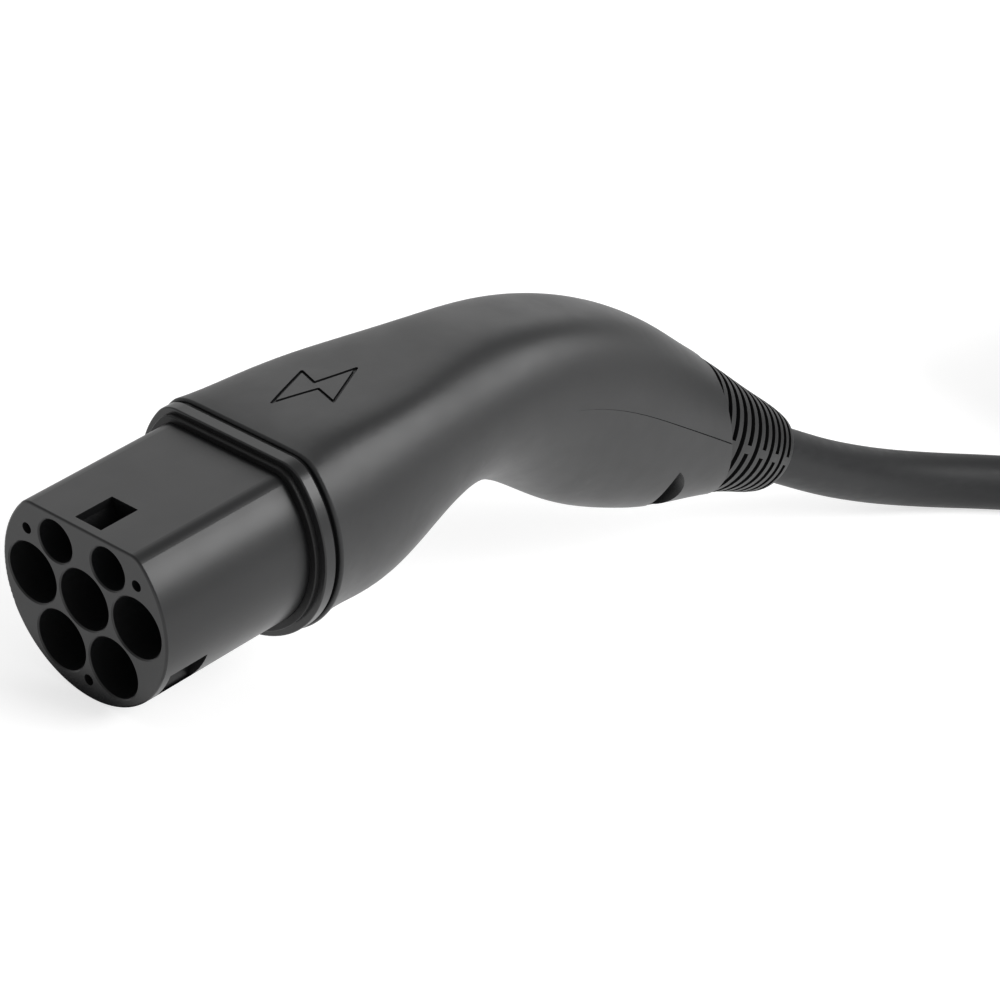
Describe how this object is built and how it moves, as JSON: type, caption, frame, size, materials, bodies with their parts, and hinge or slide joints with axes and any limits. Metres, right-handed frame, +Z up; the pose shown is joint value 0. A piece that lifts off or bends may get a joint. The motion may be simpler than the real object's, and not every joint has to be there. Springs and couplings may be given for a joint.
{
  "type": "ev charging cable",
  "caption": "Charging lead for an electric car: a D-nosed vehicle connector on a bent grip, and a thick cable tied in a hank that ends in a charging-point plug.",
  "frame": {"origin": "on the ground, under the middle of the vehicle connector's length", "axes": "+X from the connector's nose along its grip to the cable, +Y to the left seen from behind the grip, +Z up"},
  "size_m": [0.7045, 0.1735, 0.1301],
  "materials": {
    "boot_rubber": "satin",
    "cable_jacket": "satin",
    "carrier_grey": "matte",
    "clamp_nylon": "matte",
    "collar_black": "satin",
    "dark_rubber": "matte",
    "grip_black": "satin",
    "guard_black": "matte",
    "nose_black": "satin",
    "plug_black": "satin",
    "resistor_lacquer": "lacquered",
    "screw_steel": "zinc plated",
    "silvered_copper": "satin",
    "tie_fabric": "woven",
    "wire_black": "matte",
    "wire_blue": "matte",
    "wire_brown": "matte",
    "wire_green": "matte, green with a yellow stripe",
    "wire_grey": "matte",
    "wire_white": "matte"
  },
  "bodies": {
    "root": {"cable_clamp_lower": "clamp_nylon", "cable_clamp_upper": "clamp_nylon", "cable_entry": "cable_jacket", "cable_hank": "cable_jacket", "cable_run": "cable_jacket", "cable_seal": "dark_rubber", "carrier_screws": "screw_steel", "clamp_screws": "screw_steel", "coding_resistor": "resistor_lacquer", "collar_gasket": "dark_rubber", "collar_ring": "collar_black", "contact_carrier": "carrier_grey", "contact_cp": "silvered_copper", "contact_l1": "silvered_copper", "contact_l2": "silvered_copper", "contact_l3": "silvered_copper", "contact_n": "silvered_copper", "contact_pe": "silvered_copper", "contact_pp": "silvered_copper", "front_seal": "dark_rubber", "handle_body": "grip_black", "hank_ties": "tie_fabric", "nose_housing": "nose_black", "nose_seal": "dark_rubber", "plug_boot": "boot_rubber", "plug_gasket": "dark_rubber", "plug_handle": "plug_black", "plug_insert": "carrier_grey", "plug_power_pins": "silvered_copper", "plug_shroud": "plug_black", "plug_signal_pins": "silvered_copper", "power_guards": "guard_black", "retaining_plate": "carrier_grey", "signal_guards": "guard_black", "strain_relief_boot": "boot_rubber", "wire_cp": "wire_white", "wire_l1": "wire_brown", "wire_l2": "wire_black", "wire_l3": "wire_grey", "wire_n": "wire_blue", "wire_pe": "wire_green", "wire_pp": "wire_white"}
  },
  "joints": []
}
